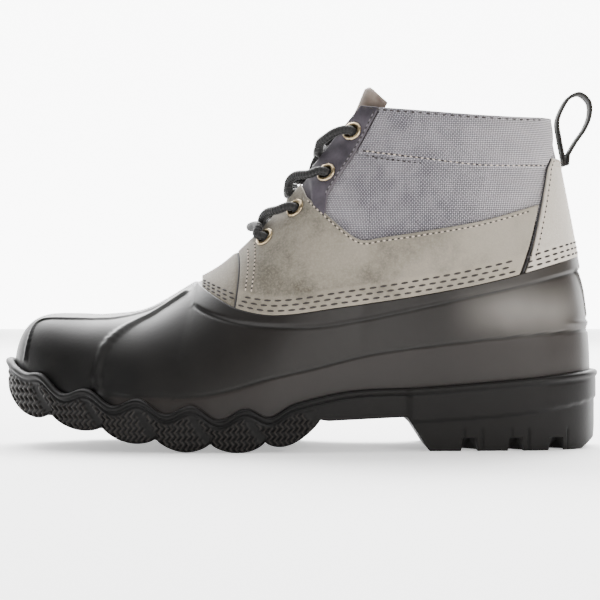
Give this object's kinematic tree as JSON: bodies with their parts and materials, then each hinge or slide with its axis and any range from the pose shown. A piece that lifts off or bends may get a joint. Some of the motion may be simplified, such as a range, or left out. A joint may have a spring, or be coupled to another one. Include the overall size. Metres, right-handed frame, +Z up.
{
  "type": "deck boot",
  "caption": "Left ankle deck boot with a moulded rubber shell and lugged outsole, leather and canvas upper, laced throat, tucked laces and a heel pull loop.",
  "frame": {"origin": "on the ground under the middle of the boot's bounding box", "axes": "+Z up, +X from the toe towards the heel, -Y towards the outer (lateral) side of this left boot"},
  "size_m": [0.302, 0.1081, 0.1844],
  "materials": {
    "shell": "satin charcoal moulded rubber",
    "outsole": "matt near-black lugged rubber",
    "leather": "warm grey nubuck",
    "canvas": "coarse grey-blue canvas",
    "facing": "dark grey oiled leather",
    "lining": "dark grey brushed textile",
    "foam": "pale open-cell foam",
    "board": "brown fibreboard",
    "steel": "plain spring steel",
    "eyelets": "antique brass",
    "cord": "near-black braided cord",
    "aglet": "black plastic film",
    "webbing": "near-black woven webbing"
  },
  "bodies": {
    "boot": {"rubber_shell": "shell", "outsole": "outsole", "midsole_filler": "foam", "steel_shank": "steel", "insole_board": "board", "footbed": "lining", "lining": "lining", "heel_counter": "board", "collar_foam": "foam", "quarter_lateral": "leather", "quarter_medial": "leather", "canvas_lateral": "canvas", "canvas_medial": "canvas", "facing_lateral": "facing", "facing_medial": "facing", "collar_band_lateral": "canvas", "collar_band_medial": "canvas", "backstay": "leather", "backstay_piping_lateral": "cord", "backstay_piping_medial": "cord", "tongue": "leather", "vamp_gore": "leather", "lace": "cord", "lace_tail_lateral": "cord", "lace_tail_medial": "cord", "aglet_lateral": "aglet", "aglet_medial": "aglet", "eyelet_lateral_1": "eyelets", "eyelet_lateral_2": "eyelets", "eyelet_lateral_3": "eyelets", "eyelet_lateral_4": "eyelets", "eyelet_medial_1": "eyelets", "eyelet_medial_2": "eyelets", "eyelet_medial_3": "eyelets", "eyelet_medial_4": "eyelets"},
    "pull_loop": {"pull_loop": "webbing"}
  },
  "joints": [
    {"name": "pull_loop_fold", "type": "hinge", "parent": "boot", "child": "pull_loop", "pos_m": [0.1352, 0, 0.1478], "axis": [0, 1, 0], "range_deg": [0, 95], "stiffness_Nm_per_rad": 0.02}
  ]
}
